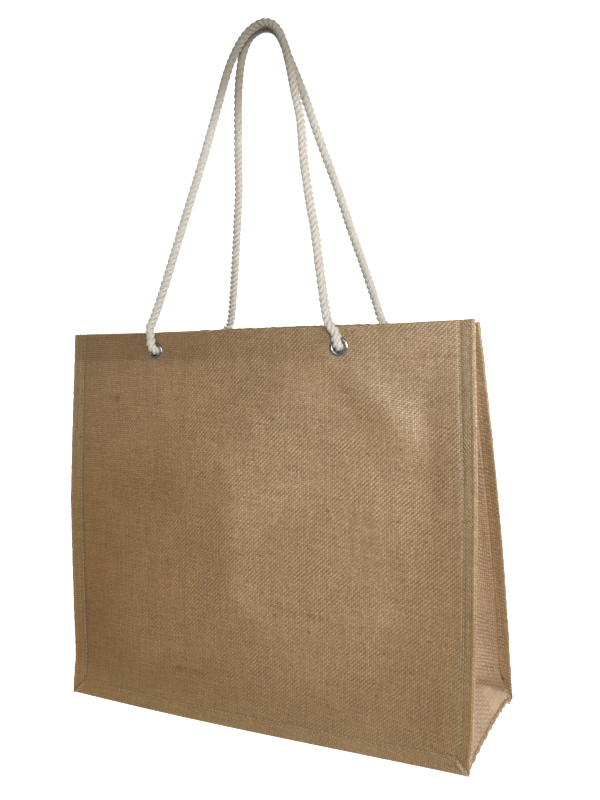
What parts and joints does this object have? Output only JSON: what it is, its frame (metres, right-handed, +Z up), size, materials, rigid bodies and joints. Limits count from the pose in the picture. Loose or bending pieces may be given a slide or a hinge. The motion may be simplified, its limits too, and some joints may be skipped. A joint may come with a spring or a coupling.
{
  "type": "jute tote bag",
  "caption": "Wide woven jute tote bag with pleated side gussets, pinched seams and a turned-in hem, hanging by two twisted rope handles that pass through metal eyelets",
  "frame": {"origin": "the underside of the two handles at their highest point, where what holds the bag up carries them", "axes": "+X to the right along the bag's width seen from the front, +Y to the back, +Z up"},
  "size_m": [0.4419, 0.1576, 0.6609],
  "materials": {
    "jute": "coarse plain weave, natural tan",
    "jute_gusset": "coarse plain weave, natural tan",
    "rope": "twisted cotton, off-white",
    "nickel": "polished nickel plate"
  },
  "bodies": {
    "root": {"front_panel": "jute", "back_panel": "jute", "gusset": "jute_gusset", "rope_front": "rope", "rope_back": "rope", "eyelet_front_left": "nickel", "washer_front_left": "nickel", "knot_front_left": "rope", "eyelet_front_right": "nickel", "washer_front_right": "nickel", "knot_front_right": "rope", "eyelet_back_left": "nickel", "washer_back_left": "nickel", "knot_back_left": "rope", "eyelet_back_right": "nickel", "washer_back_right": "nickel", "knot_back_right": "rope"}
  },
  "joints": []
}
